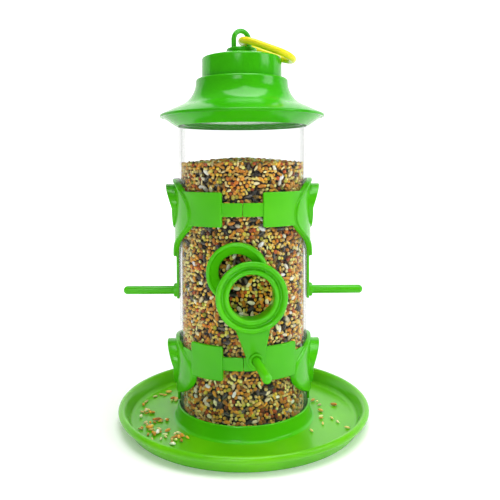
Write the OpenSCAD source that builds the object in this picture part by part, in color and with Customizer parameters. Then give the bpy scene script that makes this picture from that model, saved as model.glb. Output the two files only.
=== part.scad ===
// Tube seed feeder with a round tray, a bell-shaped roof and a hanging link.
// Millimetres. The origin is the centre of the tray's underside, +Z is up and -Y is the front.
// Azimuths are in degrees round +Z, 0 at the front and positive towards +X.

/* [Tube] */
// Outer radius of the clear tube
tube_r = 55; // [46:0.5:66]
// Wall of the clear tube
tube_wall = 2; // [1.5:0.1:3]
// Height of the tube's top edge
tube_top = 257; // [254:1:310]
// Gap between pieces that plug into or round each other
fit_gap = 0.3; // [0.2:0.05:0.5]
// Gap between pieces that are clipped together for good
clip_gap = 0.1; // [0.05:0.05:0.2]

/* [Tray] */
// Outer radius of the tray's rim
tray_r = 108; // [98:1:140]
// Height of the tray's rim
tray_h = 15; // [13:0.5:24]
// Thickness of the tray's floor
tray_floor = 2.6; // [2:0.1:4]
// Height of the rolled lip
lip_h = 4.8; // [3.5:0.1:6]
// How far the wall leans out from the floor to the lip
tray_lean = 4.5; // [2:0.5:8]
// Thickness of the tray's wall
tray_wall = 2.4; // [1.8:0.1:3.2]

/* [Socket] */
// Height of the socket's top edge
socket_h = 15; // [13:0.5:24]
// Wall of the socket at its top edge
socket_wall = 2; // [1.6:0.1:3]
// How far the socket's foot spreads
socket_foot = 5; // [3:0.5:8]
// Thickness of the socket's floor
socket_floor = 1.8; // [1.5:0.1:3]
// Height of the cone that pushes the seed outwards
cone_h = 14; // [8:1:24]

/* [Collars and side ports] */
// Height of the upper collar's middle
upper_z = 185; // [180:1:215]
// Height of the lower collar's middle
lower_z = 64; // [60:1:72]
// How far the lower side ports sit under the lower collar's middle
lower_port_drop = 14.5; // [10:0.5:16]
// Height of a collar's wide part
wide_h = 27.4; // [20:0.2:32]
// Height of a collar's narrow part
narrow_h = 10.8; // [8:0.2:16]
// Thickness of a collar's wide part
wide_t = 2.9; // [2:0.1:4]
// Thickness of a collar's narrow part
narrow_t = 1.8; // [1.4:0.1:3]
// Azimuth where the wide part starts
wide_az = 16.5; // [12:0.5:24]
// Thickness of a side port's flange
flange_t = 3.6; // [3:0.1:5]
// Half height of a side port's flange
flange_h = 24; // [21:0.5:28]
// Half the angle that a side port's flange wraps
flange_az = 44; // [36:1:50]
// Radius of a side port's opening
port_r = 15; // [12:0.5:18]
// Wall of a side port's sleeve
sleeve_wall = 2; // [1.5:0.1:3]
// How far a sleeve reaches inside the tube's wall
sleeve_in = 2.5; // [1:0.5:4]
// How much the hood's radius passes the sleeve's
hood_step = 2; // [1:0.5:4]
// How far the hood's top stands out from the tube
hood_out = 11.2; // [6:0.2:16]

/* [Perches] */
// Radius of a perch
perch_r = 3.6; // [3:0.1:5]
// Distance of a perch's tip from the tube's axis
perch_tip = 104; // [80:1:125]
// Height of the upper side perches
side_perch_z = 111.5; // [105:0.5:135]
// Height of the front and back perches
front_perch_z = 68; // [66:0.5:72]
// Azimuth of the front perch
front_perch_az = 9.5; // [6:0.5:12]
// Wall of a perch's boss
boss_wall = 2.2; // [1.6:0.1:3]
// How far a boss stands out from the tube
boss_out = 7; // [6:0.5:10]
// Half width of a side tail at the flange
tail_top = 9; // [7:0.5:12]
// Thickness of a tail
tail_t = 2.4; // [2:0.1:3.5]

/* [Front and back ports] */
// Azimuth of the flanged port
front_az = -4.6; // [-8:0.2:0]
// Height of the flanged port
front_z = 136; // [130:1:146]
// Outer radius of the flanged port
front_r = 24; // [20:0.5:27]
// Radius of the flanged port's opening
front_open_r = 14.8; // [12:0.2:17]
// How far the flanged port stands out from the tube
front_out = 6.4; // [4:0.2:8]
// Azimuth of the feeding ring
ring_az = 6; // [4:0.5:9]
// Height of the feeding ring
ring_z = 118.5; // [114:0.5:124]
// Outer radius of the feeding ring
ring_r = 28; // [24:0.5:32]
// Radius of the feeding ring's opening
ring_open_r = 17.6; // [14:0.2:20]
// How far the feeding ring stands out from the tube
ring_out = 12; // [10:0.2:16]
// Width of the feeding ring's rolled lip
ring_lip = 4.2; // [3:0.2:6]
// Thickness of the feeding ring's tail plate
plate_t = 4.6; // [4:0.1:6]

/* [Roof] */
// How far the brim reaches beyond the tube
brim_over = 15.4; // [10:0.2:24]
// How far the brim's lower edge sits above the tube's top edge
brim_rise = 3.3; // [2.6:0.1:5]
// Height of the brim's upright lip
brim_lip = 2.2; // [1.6:0.1:4]
// Height of the roof from the brim to its shoulder
roof_h = 32.7; // [28:0.1:44]
// Wall of the roof
roof_wall = 2.2; // [1.6:0.1:3]
// Radius of the flare between the brim and the neck
flare_r = 22.5; // [18:0.5:26]
// Slope of the brim in degrees
brim_slope = 19; // [14:1:24]
// Radius of the roof's neck
neck_r = 39.5; // [34:0.1:48]
// How far the lid's plug reaches into the tube
plug_h = 2.8; // [2:0.1:8]
// Wall of the plug
plug_wall = 2.2; // [1.6:0.1:3]

/* [Cap and hanger] */
// How far the top cap's wall sits inside the neck
cap_inset = 5.3; // [4.5:0.1:8]
// Height of the top cap's upright wall
cap_h = 18.2; // [12:0.2:26]
// How far the cap's top is domed
cap_dome = 5; // [3:0.5:8]
// Wall of the cap
cap_wall = 2.2; // [1.6:0.1:3]
// Radius of the eyelet's disc
disc_r = 13; // [11:0.5:16]
// Thickness of the eyelet's disc
disc_t = 3; // [2:0.1:5]
// Radius of the eyelet's wire
eye_wire_r = 2.1; // [1.6:0.1:2.1]
// Half width of the eyelet's arch at its wire's middle
eye_half_w = 8; // [8:0.1:10]
// Height of the eyelet's legs above the disc
eye_leg_h = 7.1; // [6:0.1:12]
// Turn of the eyelet round the feeder's axis
eye_turn = 35; // [20:1:40]
// Radius of the stem that holds the eyelet in the cap
stem_r = 4; // [3:0.1:6]
// Radius of the link's wire
link_wire_r = 3; // [2:0.1:3]
// Half width of the link at its wire's middle
link_half_w = 15; // [14:0.5:18]
// Length of the link at its wire's middle
link_l = 46.5; // [44:0.5:60]
// Height of the link's swing axis above the disc
link_axis_h = 6.5; // [6:0.1:7.5]
// Gap between the link and the cap's sharp corner where the link lies on it
link_rest = 0.11; // [0.1:0.01:1]

/* [Seed] */
// How far the seed's surface at the tube's wall sits below the tube's top edge
seed_below = 35; // [20:1:50]
// How much the seed is heaped in the middle
seed_heap = 4.5; // [0:0.5:8]
// Gap round the seed
seed_gap = 0.5; // [0.3:0.1:1]

/* [Hidden] */
$fn = 96;
// Longer than any piece, for cuts that pass right through
far = 200;
// Depth by which cuts pass a face and joined shapes overlap
eps = 0.5;
turned = 180;
right_az = 90;

tube_ir = tube_r - tube_wall;
tube_z0 = tray_floor + socket_floor;
sleeve_from = tube_ir - sleeve_in;
// Radius inside the tube's wall where pieces start before the tube's space is cut from them
core_r = tube_r - 8;
collar_ir = tube_r + clip_gap;
narrow_r = tube_r + narrow_t;
wide_r = tube_r + wide_t;
flange_r = tube_r + flange_t;
side_sleeve_r = port_r + sleeve_wall;
side_hole_r = side_sleeve_r + clip_gap;
hood_r = side_sleeve_r + hood_step;
lower_port_z = lower_z - lower_port_drop;
// The wide part of a collar reaches under the flange's edge by this angle
wide_end_az = 62;
seam_az = clip_gap / tube_r * 90;

perch_from = tube_r + 2;
boss_r = perch_r + clip_gap + boss_wall;
tail_foot = boss_r + clip_gap;
front_sleeve_r = front_open_r + sleeve_wall;
front_face = tube_r + front_out;
ring_sleeve_r = ring_open_r + sleeve_wall;
ring_face = tube_r + ring_out;
ring_step = ring_face - 2.6;
plate_r = tube_r + plate_t;
plate_foot_r = boss_r + 2.2;
boss_shift = plate_r * sin(front_perch_az - ring_az);

brim_r = tube_r + brim_over;
brim_z = tube_top + brim_rise;
shoulder_z = brim_z + roof_h;
brim_top = brim_z + brim_lip;
flare_x = neck_r + flare_r;
flare_z = shoulder_z - 2;
flare_end = 270 - brim_slope;
cap_r = neck_r - cap_inset;
cap_z1 = shoulder_z + cap_h;
cap_top = cap_z1 + cap_dome;
cap_spigot_r = cap_r - cap_wall;
cap_spigot_h = 5;
disc_top = cap_top + disc_t;
eye_arc_z = disc_top + eye_leg_h;
link_z = disc_top + link_axis_h;
// The link's sides rest on the cap's corner at this distance from the swing axis
rest_x = sqrt(cap_r * cap_r - link_half_w * link_half_w);
link_slope = acos((link_wire_r + link_rest) / norm([rest_x, link_z - cap_z1])) - atan2(rest_x, link_z - cap_z1);
plug_r = tube_ir - fit_gap;
plug_top = tube_top + fit_gap;
plug_deck = plug_top + 2;
skirt_r = tube_r + fit_gap;
skirt_z = plug_top - 4.3;
washer_t = 1.6;
washer_r = 9;
// The plug's rim sits in a rebate under the roof's brim
rim_r = brim_r - roof_wall - clip_gap;
rim_z = brim_z + 0.3;
rim_top = rim_z + 1.2;

seed_side_z = tube_top - seed_below;

leaf_green = "#35c41a";
deep_green = "#2bab16";
link_yellow = "#f4e21c";
seed_tan = "#b98a4a";

// Points on an arc, from angle a0 to a1
function arc(x, y, r, a0, a1, n = 8) =
    [for (i = [0 : n]) let (a = a0 + (a1 - a0) * i / n) [x + r * cos(a), y + r * sin(a)]];

// Points on a whole ellipse
function ellipse_points(a, b, n = 64) = [for (i = [0 : n - 1]) [a * cos(360 * i / n), b * sin(360 * i / n)]];

// A large circle at the origin joined by its tangents to a small one at (x, -drop)
function teardrop(r1, r2, x, drop) =
    let (span = norm([x, drop]), lean = atan2(x, drop), cut = asin((r1 - r2) / span))
    concat(arc(0, 0, r1, cut + lean, 180 - cut + lean, 32),
           arc(x, -drop, r2, 180 - cut + lean, 360 + cut + lean, 16));

// Turns the local +Z to point outwards at an azimuth, with the local +Y up
module at_port(az, z) {
    translate([0, 0, z]) rotate([0, 0, az]) rotate([90, 0, 0]) children();
}

// A straight-sided ring about +Z
module ring(r_in, r_out, z0, z1) {
    difference() {
        translate([0, 0, z0]) cylinder(r = r_out, h = z1 - z0);
        translate([0, 0, z0 - eps]) cylinder(r = r_in, h = z1 - z0 + 2 * eps);
    }
}

// Part of a ring between two azimuths, deep enough to be cut by the tube's space
module arc_band(r_out, z_mid, h, az0, az1) {
    rotate([0, 0, az0 - 90]) rotate_extrude(angle = az1 - az0)
        translate([core_r, z_mid - h / 2]) square([r_out - core_r, h]);
}

// A rod along the local +Z
module rod(r, from, to) {
    translate([0, 0, from]) cylinder(r = r, h = to - from);
}

// A prism that points outwards at an azimuth, ended by a cylinder about +Z
module wrapped(r_out, az, z) {
    intersection() {
        translate([0, 0, z - far]) cylinder(r = r_out, h = 2 * far);
        at_port(az, z) linear_extrude(far) children();
    }
}

// The space that the tube takes, with the gap round it
module tube_space() {
    translate([0, 0, -far]) cylinder(r = collar_ir, h = 3 * far);
}

// Shallow dish with a rolled lip
module tray() {
    lip_z = tray_h - lip_h;
    lip_r = lip_h / 2;
    wall_r = tray_r - 2.2;
    foot_r = wall_r - tray_lean;
    floor_r = foot_r - tray_wall - 3;
    color(leaf_green) rotate_extrude() polygon(concat(
        [[0, 0]],
        arc(foot_r - 2, 2, 2, -90, -25, 4),
        [[wall_r, lip_z - 0.2], [wall_r + 0.6, lip_z]],
        arc(tray_r - lip_r, tray_h - lip_r, lip_r, -60, 120, 10),
        [[tray_r - lip_h - 0.6, tray_h - 1.6]],
        arc(floor_r, tray_floor + 4, 4, 0, -90, 6),
        [[0, tray_floor]]));
}

// Cup that holds the tube's foot
module tube_socket() {
    in_r = tube_r + fit_gap;
    top_r = in_r + socket_wall;
    foot_r = top_r + socket_foot;
    color(leaf_green) difference() {
        rotate_extrude() polygon(concat(
            [[0, tray_floor], [foot_r, tray_floor]],
            arc(foot_r, tray_floor + 5, 5, -90, -160, 6),
            arc(top_r - 1, socket_h - 1, 1, 0, 90, 4),
            [[0, socket_h]]));
        translate([0, 0, tube_z0]) cylinder(r = in_r, h = far);
    }
}

// Low cone on the socket's floor
module seed_cone() {
    base_r = tube_ir - fit_gap - 0.3;
    color(deep_green) rotate_extrude() polygon([
        [0, tube_z0], [base_r, tube_z0], [base_r, tube_z0 + 1.5], [4, tube_z0 + cone_h], [0, tube_z0 + cone_h]]);
}

// Every opening through the tube's wall, widened by a gap
module port_holes(gap) {
    for (side = [-1, 1], z = [upper_z, lower_port_z])
        at_port(side * right_az, z) rod(side_sleeve_r + gap, sleeve_from - 5, far);
    for (turn = [0, turned]) rotate([0, 0, turn]) {
        at_port(front_az, front_z) rod(front_sleeve_r + gap, sleeve_from - 5, far);
        at_port(ring_az, ring_z) rod(ring_sleeve_r + gap, sleeve_from - 5, far);
    }
}

// Clear tube with its feeding holes
module seed_tube() {
    color([0.85, 0.9, 0.92, 0.35]) difference() {
        ring(tube_ir, tube_r, tube_z0 + clip_gap, tube_top);
        port_holes(clip_gap);
    }
}

// The seed inside the tube
module seed_fill() {
    seed_r = tube_ir - seed_gap;
    base = tube_z0 + 2 + seed_gap;
    color(seed_tan) difference() {
        rotate_extrude() polygon([
            [0, tube_z0 + cone_h + seed_gap], [4, tube_z0 + cone_h + seed_gap], [seed_r, base + 1],
            [seed_r, seed_side_z], [seed_r * 0.6, seed_side_z + seed_heap * 0.7], [0, seed_side_z + seed_heap]]);
        port_holes(seed_gap);
    }
}

// Tapered strip from a side flange down to a foot
module side_tail(z_top, z_foot, half_top, half_foot) {
    wrapped(tube_r + tail_t, right_az, z_top)
        polygon([[-half_top, 0], [-half_foot, z_foot - z_top], [half_foot, z_foot - z_top], [half_top, 0]]);
}

// Half a collar on the right: band, flange and tail, open at the port
module collar_half(z, port_z, tail_z) {
    flange_w = flange_r * sin(flange_az);
    color(leaf_green) difference() {
        union() {
            arc_band(narrow_r, z, narrow_h, seam_az, 180 - seam_az);
            arc_band(wide_r, z, wide_h, wide_az, wide_end_az);
            arc_band(wide_r, z, wide_h, 180 - wide_end_az, 180 - wide_az);
            wrapped(flange_r, right_az, port_z) polygon(ellipse_points(flange_w, flange_h));
            side_tail(port_z - flange_h / 2, tail_z, tail_top, tail_foot);
            if (tail_z > lower_z) at_port(right_az, side_perch_z) rod(boss_r, core_r, tube_r + boss_out - 2);
        }
        tube_space();
        at_port(right_az, port_z) rod(side_hole_r, 0, far);
        if (tail_z > lower_z) at_port(right_az, side_perch_z) rod(perch_r + clip_gap, perch_from - clip_gap, far);
    }
}

module upper_collar() {
    collar_half(upper_z, upper_z, side_perch_z - boss_r - 1);
}

module lower_collar() {
    collar_half(lower_z, lower_port_z, socket_h + 1.5);
}

// Sleeve through a side port, with a slanted hood over its upper half
module port_hood(port_z) {
    face = flange_r + clip_gap;
    top = tube_r + hood_out;
    color(leaf_green) difference() {
        union() {
            at_port(right_az, port_z) rod(side_sleeve_r, sleeve_from, face + 1);
            difference() {
                at_port(right_az, port_z) rod(hood_r, tube_ir, top);
                translate([0, 0, port_z - far]) cylinder(r = face, h = 2 * far);
            }
        }
        at_port(right_az, port_z) rod(port_r, 0, far);
        at_port(right_az, port_z) rotate([90, 0, 90]) linear_extrude(far, center = true)
            polygon([[-far, face + 0.6], [-1, face + 0.6], [hood_r, top], [hood_r + 1, far], [-far, far]]);
    }
}

// Rod with a rounded tip
module perch() {
    color(leaf_green) {
        rod(perch_r, perch_from, perch_tip - perch_r);
        translate([0, 0, perch_tip - perch_r]) sphere(r = perch_r);
    }
}

// Round flanged port, notched where the feeding ring's sleeve passes
module flanged_port() {
    lip = 3.2;
    color(leaf_green) difference() {
        union() {
            at_port(front_az, front_z) rod(front_sleeve_r, sleeve_from, tube_r + 1);
            difference() {
                at_port(front_az, front_z) rotate_extrude() polygon(concat(
                    [[front_open_r - 2, core_r], [front_r, core_r]],
                    arc(front_r - lip / 2, front_face - lip / 2, lip / 2, 0, 180, 8),
                    [[front_r - lip, front_face - 2.4], [front_open_r - 2, tube_r + 0.6]]));
                tube_space();
            }
        }
        at_port(front_az, front_z) rod(front_open_r, 0, far);
        at_port(ring_az, ring_z) rod(ring_sleeve_r + clip_gap, 0, far);
    }
}

// Stepped ring in front of the flanged port, with a tail plate down to the perch
module feeding_ring() {
    drop = ring_z - front_perch_z;
    color(leaf_green) difference() {
        union() {
            at_port(ring_az, ring_z) rod(ring_sleeve_r, sleeve_from, ring_step);
            difference() {
                union() {
                    at_port(ring_az, ring_z) rotate_extrude() polygon(concat(
                        [[ring_open_r, ring_step - 6], [ring_sleeve_r, ring_step - 6], [ring_r - 1.5, ring_step - 2.5]],
                        arc(ring_r - ring_lip / 2, ring_face - ring_lip / 2, ring_lip / 2, 0, 180, 8),
                        [[ring_r - ring_lip, ring_step], [ring_open_r, ring_step]]));
                    wrapped(plate_r, ring_az, ring_z)
                        polygon(teardrop(ring_r - 2, plate_foot_r, boss_shift, drop));
                    at_port(front_perch_az, front_perch_z) rod(boss_r, tube_r + 1, tube_r + boss_out);
                }
                at_port(front_az, front_z) rod(front_r + clip_gap, 0, front_face + clip_gap);
                ring(0, wide_r + clip_gap, lower_z - wide_h / 2 - clip_gap, lower_z + wide_h / 2 + clip_gap);
                tube_space();
            }
        }
        at_port(ring_az, ring_z) rod(ring_open_r, 0, far);
        at_port(front_perch_az, front_perch_z) rod(perch_r + clip_gap, perch_from - clip_gap, far);
    }
}

// Closes the roof from below and plugs the tube
module lid_plug() {
    color(deep_green) rotate_extrude() polygon([
        [0, plug_top], [plug_r - plug_wall, plug_top], [plug_r - plug_wall, tube_top - plug_h],
        [plug_r, tube_top - plug_h], [plug_r, plug_top], [skirt_r, plug_top], [skirt_r, skirt_z],
        [skirt_r + 1.6, skirt_z - 0.2], [rim_r, rim_z], [rim_r, rim_top], [skirt_r + 4, plug_deck],
        [0, plug_deck]]);
}

// The roof's outer outline, from the brim up to the shoulder
function roof_outline() = concat(
    [[brim_r - 0.6, brim_z], [brim_r, brim_z + 0.6], [brim_r, brim_top]],
    arc(flare_x, flare_z, flare_r, flare_end, 180, 12),
    arc(neck_r - 2, shoulder_z - 2, 2, 0, 90, 4));

// Bell-shaped roof
module roof() {
    outer = roof_outline();
    last = len(outer) - 1;
    inner = [for (i = [last : -1 : 3]) [outer[i][0] - roof_wall, outer[i][1] - roof_wall]];
    lip_in = brim_r - roof_wall;
    flare_in = inner[len(inner) - 1];
    rebate_z = rim_top + clip_gap;
    rebate_r = lip_in + (flare_in[0] - lip_in) * (rebate_z - brim_z) / (flare_in[1] - brim_z);
    opening = cap_spigot_r + clip_gap;
    color(leaf_green) difference() {
        rotate_extrude() polygon(concat(outer, [[opening - 1, shoulder_z]], [[opening - 1, shoulder_z - roof_wall]],
            inner, [[rebate_r, rebate_z], [lip_in, rebate_z], [lip_in, brim_z]]));
        translate([0, 0, shoulder_z - 20]) cylinder(r = opening, h = far);
    }
}

// Domed cap with a spigot in the roof's neck
module top_cap() {
    edge = 1.6;
    dome_r = disc_r + 0.5;
    color(leaf_green) difference() {
        rotate_extrude() polygon(concat(
            [[0, shoulder_z - cap_spigot_h], [cap_spigot_r, shoulder_z - cap_spigot_h],
             [cap_spigot_r, shoulder_z + clip_gap], [cap_r, shoulder_z + clip_gap]],
            arc(cap_r - edge, cap_z1 - edge, edge, 0, 80, 5),
            arc(dome_r - 2, cap_top - 9, 9, 70, 90, 3),
            [[0, cap_top]]));
        rotate_extrude() polygon([
            [0, shoulder_z - cap_spigot_h - 1], [cap_spigot_r - cap_wall, shoulder_z - cap_spigot_h - 1],
            [cap_spigot_r - cap_wall, cap_z1 - cap_wall], [dome_r, cap_top - cap_wall], [0, cap_top - cap_wall]]);
        translate([0, 0, shoulder_z]) cylinder(r = stem_r + clip_gap, h = far);
    }
}

// Arch of round wire on a disc, with a stem through the cap
module hanger_eye() {
    color(leaf_green) {
        translate([0, 0, cap_top]) cylinder(r = disc_r, h = disc_t);
        translate([0, 0, cap_top - cap_wall - washer_t - 1]) cylinder(r = stem_r, h = cap_wall + washer_t + 1 + eps);
        rotate([0, 0, eye_turn]) {
            for (side = [-1, 1])
                translate([side * eye_half_w, 0, disc_top - eps]) cylinder(r = eye_wire_r, h = eye_leg_h + eps);
            translate([0, 0, eye_arc_z]) rotate([90, 0, 0]) rotate_extrude(angle = 180)
                translate([eye_half_w, 0]) circle(r = eye_wire_r);
        }
    }
}

// Push-on washer that keeps the eyelet's stem in the cap
module eye_washer() {
    color("silver") translate([0, 0, cap_top - cap_wall - washer_t])
        difference() {
            cylinder(r = washer_r, h = washer_t - clip_gap);
            translate([0, 0, -eps]) cylinder(r = stem_r + clip_gap / 2, h = washer_t + 2 * eps);
        }
}

// Oval link of round wire, lying on the cap
module hanging_link() {
    straight = link_l - 2 * link_half_w;
    color(link_yellow) translate([0, 0, link_z]) rotate([0, link_slope, 0]) translate([link_half_w, 0, 0]) {
        rotate([0, 0, 90]) rotate_extrude(angle = 180) translate([link_half_w, 0]) circle(r = link_wire_r);
        translate([straight, 0, 0]) rotate([0, 0, -90]) rotate_extrude(angle = 180)
            translate([link_half_w, 0]) circle(r = link_wire_r);
        for (side = [-1, 1])
            translate([0, side * link_half_w, 0]) rotate([0, 90, 0]) cylinder(r = link_wire_r, h = straight);
    }
}

tray();
tube_socket();
seed_cone();
seed_tube();
seed_fill();
mirror([1, 0, 0]) upper_collar();  // upper_collar_left
upper_collar();  // upper_collar_right
mirror([1, 0, 0]) lower_collar();  // lower_collar_left
lower_collar();  // lower_collar_right
mirror([1, 0, 0]) port_hood(upper_z);  // upper_hood_left
port_hood(upper_z);  // upper_hood_right
mirror([1, 0, 0]) port_hood(lower_port_z);  // lower_hood_left
port_hood(lower_port_z);  // lower_hood_right
at_port(-right_az, side_perch_z) perch();  // perch_upper_left
at_port(right_az, side_perch_z) perch();  // perch_upper_right
flanged_port();  // front_port
rotate([0, 0, turned]) flanged_port();  // back_port
feeding_ring();  // front_feeding_ring
rotate([0, 0, turned]) feeding_ring();  // back_feeding_ring
at_port(front_perch_az, front_perch_z) perch();  // perch_front
at_port(front_perch_az + turned, front_perch_z) perch();  // perch_back
lid_plug();
roof();
top_cap();
hanger_eye();
eye_washer();
hanging_link();
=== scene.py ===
import math

import bmesh
import bpy
import numpy as np
from mathutils import Matrix, Vector


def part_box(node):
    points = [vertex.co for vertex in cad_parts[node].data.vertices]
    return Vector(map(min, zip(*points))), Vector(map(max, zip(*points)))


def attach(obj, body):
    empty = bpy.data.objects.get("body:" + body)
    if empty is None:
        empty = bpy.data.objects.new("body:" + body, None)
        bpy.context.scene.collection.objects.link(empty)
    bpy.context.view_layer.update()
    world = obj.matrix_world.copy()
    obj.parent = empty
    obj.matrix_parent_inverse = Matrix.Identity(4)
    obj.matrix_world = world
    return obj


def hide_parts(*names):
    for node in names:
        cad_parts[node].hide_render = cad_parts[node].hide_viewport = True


# A green tube seed feeder: tray, clear tube of seed, feeding ports with perches, bell roof and link.
# Shapes are worked out in millimetres and turned to metres when a piece is finished.

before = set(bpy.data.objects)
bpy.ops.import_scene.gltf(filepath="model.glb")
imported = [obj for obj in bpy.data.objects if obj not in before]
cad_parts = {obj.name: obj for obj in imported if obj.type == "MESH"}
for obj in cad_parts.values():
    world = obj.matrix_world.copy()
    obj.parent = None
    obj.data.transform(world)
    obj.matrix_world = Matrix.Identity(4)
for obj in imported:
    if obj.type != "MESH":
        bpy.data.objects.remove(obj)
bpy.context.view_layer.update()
MM = 0.001

# ---------------------------------------------------------------- sizes, from the frame


def span(node):
    """Lowest and highest corner of a CAD node, in millimetres."""
    low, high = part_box(node)
    return low / MM, high / MM


TRAY_R, TRAY_H = span("tray")[1].x, span("tray")[1].z
SOCKET_H = span("tube_socket")[1].z
SOCKET_FOOT_R = span("tube_socket")[1].x
TUBE_R, TUBE_TOP, TUBE_FOOT = span("seed_tube")[1].x, span("seed_tube")[1].z, span("seed_tube")[0].z
CONE_TOP = span("seed_cone")[1].z
SEED_TOP = span("seed_fill")[1].z
PERCH_TIP = span("perch_upper_right")[1].x
SIDE_PERCH_Z = (span("perch_upper_right")[0].z + span("perch_upper_right")[1].z) / 2
FRONT_PERCH_Z = (span("perch_front")[0].z + span("perch_front")[1].z) / 2
PERCH_R = span("perch_upper_right")[1].z - SIDE_PERCH_Z
HOOD_TOP = span("upper_hood_right")[1].x
UPPER_PORT_Z = (span("upper_hood_right")[0].z + span("upper_hood_right")[1].z) / 2
LOWER_PORT_Z = (span("lower_hood_right")[0].z + span("lower_hood_right")[1].z) / 2
HOOD_R = span("upper_hood_right")[1].z - UPPER_PORT_Z
BRIM_R = span("roof")[1].x
BRIM_Z = span("roof")[0].z
SHOULDER_Z = span("roof")[1].z
CAP_R = span("top_cap")[1].x
CAP_TOP = span("top_cap")[1].z
DISC_R = span("hanger_eye")[1].x

# Sizes of the mouldings that the frame's boxes don't give
TRAY_FLOOR = 2.6
TUBE_WALL = 2.0
GAP = 0.1
NARROW_H, WIDE_H = 10.8, 27.4
NARROW_R, WIDE_R, FLANGE_R = TUBE_R + 1.8, TUBE_R + 2.9, TUBE_R + 3.6
WIDE_FROM, WIDE_TO = 16.5, 62
UPPER_BAND_Z, LOWER_BAND_Z = UPPER_PORT_Z, LOWER_PORT_Z + 14.5
FLANGE_H, FLANGE_AZ = 24, 44
PORT_R = 15
FRONT_AZ, RING_AZ, FRONT_PERCH_AZ = -4.6, 6, 9.5
FRONT_R, FRONT_OPEN_R = 24, 14.8
FRONT_Z = span("front_port")[1].z - FRONT_R
RING_R, RING_OPEN_R = 28, 17.6
RING_Z = span("front_feeding_ring")[1].z - RING_R
RING_FACE = TUBE_R + 12
RING_STEP = RING_FACE - 2.6
PLATE_R = TUBE_R + 4.6
SLEEVE_FROM = TUBE_R - TUBE_WALL - 2.5
BOSS_R = PERCH_R + 2.3
DISC_H = 3
EYE_WIRE_R, EYE_HALF_W, EYE_LEG, EYE_TURN = 2.1, 8, 7.1, 35
LINK_WIRE_R, LINK_HALF_W, LINK_LENGTH, LINK_SLOPE = 3, 15, 46.5, 20
LINK_Z = CAP_TOP + DISC_H + 6.5

# ---------------------------------------------------------------- materials


def linear(code):
    """Linear colour of an sRGB hex code."""
    parts = [int(code[i:i + 2], 16) / 255 for i in (1, 3, 5)]
    return tuple(c / 12.92 if c <= 0.04045 else ((c + 0.055) / 1.055) ** 2.4 for c in parts) + (1.0,)


def add(tree, kind, inputs=(), **settings):
    """Adds a node. An input given as a socket is linked, and one given as a value is set."""
    made = tree.nodes.new("ShaderNode" + kind)
    for name, value in settings.items():
        setattr(made, name, value)
    for name, value in dict(inputs).items():
        if isinstance(value, bpy.types.NodeSocket):
            tree.links.new(value, made.inputs[name])
        else:
            made.inputs[name].default_value = value
    return made


def blank(name):
    """A material with only its output node, and its tree."""
    material = bpy.data.materials.new(name)
    material.use_nodes = True
    material.node_tree.nodes.clear()
    return material, material.node_tree


def moulded_plastic(name, colour, deep, roughness, ripple_mm=9.0, flow_mm=55.0):
    """Injection-moulded polypropylene: an even through-colour with slow flow marks, a slightly wavy
    polished surface that softens its highlights, and faint scuffs that vary the gloss."""
    material, tree = blank(name)
    place = add(tree, "TexCoord").outputs["Object"]
    flow = add(tree, "TexNoise", {"Vector": place, "Scale": 1 / (flow_mm * MM), "Detail": 2.0,
                                  "Roughness": 0.5})
    tone = add(tree, "MapRange", {"Value": flow.outputs[0], "From Min": 0.3, "From Max": 0.7})
    body = add(tree, "Mix", {0: tone.outputs[0], 6: linear(deep), 7: linear(colour)}, data_type="RGBA")
    scuff = add(tree, "TexNoise", {"Vector": place, "Scale": 1 / (3.5 * MM), "Detail": 4.0,
                                   "Roughness": 0.62})
    gloss = add(tree, "MapRange", {"Value": scuff.outputs[0], "From Min": 0.35, "From Max": 0.7,
                                   "To Min": roughness, "To Max": roughness + 0.04})
    ripple = add(tree, "TexNoise", {"Vector": place, "Scale": 1 / (ripple_mm * MM), "Detail": 1.5})
    relief = add(tree, "Bump", {"Height": ripple.outputs[0], "Strength": 0.14, "Distance": 0.25 * MM})
    shell = add(tree, "BsdfPrincipled", {"Base Color": body.outputs[2], "Roughness": gloss.outputs[0],
                                         "Normal": relief.outputs[0], "IOR": 1.45,
                                         "Specular IOR Level": 0.32})
    add(tree, "OutputMaterial", {"Surface": shell.outputs[0]})
    return material


def clear_tube_plastic():
    """Extruded clear polycarbonate: almost unseen face on, greyer and shinier where the wall turns away."""
    material, tree = blank("clear_polycarbonate_extruded")
    facing = add(tree, "LayerWeight", {"Blend": 0.5}).outputs["Facing"]
    edge = add(tree, "Math", {0: facing, 1: 4.0}, operation="POWER")
    alpha = add(tree, "MapRange", {"Value": edge.outputs[0], "To Min": 0.028, "To Max": 0.6})
    place = add(tree, "TexCoord").outputs["Object"]
    draw = add(tree, "Mapping", {"Vector": place, "Scale": (1.0, 1.0, 0.08)})
    lines = add(tree, "TexNoise", {"Vector": draw.outputs[0], "Scale": 1 / (2.5 * MM), "Detail": 2.0})
    gloss = add(tree, "MapRange", {"Value": lines.outputs[0], "To Min": 0.03, "To Max": 0.1})
    wall = add(tree, "BsdfPrincipled", {"Base Color": linear("#9aa09b"), "Roughness": gloss.outputs[0],
                                        "IOR": 1.58,
                                        "Alpha": alpha.outputs[0]})
    add(tree, "OutputMaterial", {"Surface": wall.outputs[0]})
    return material


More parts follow.
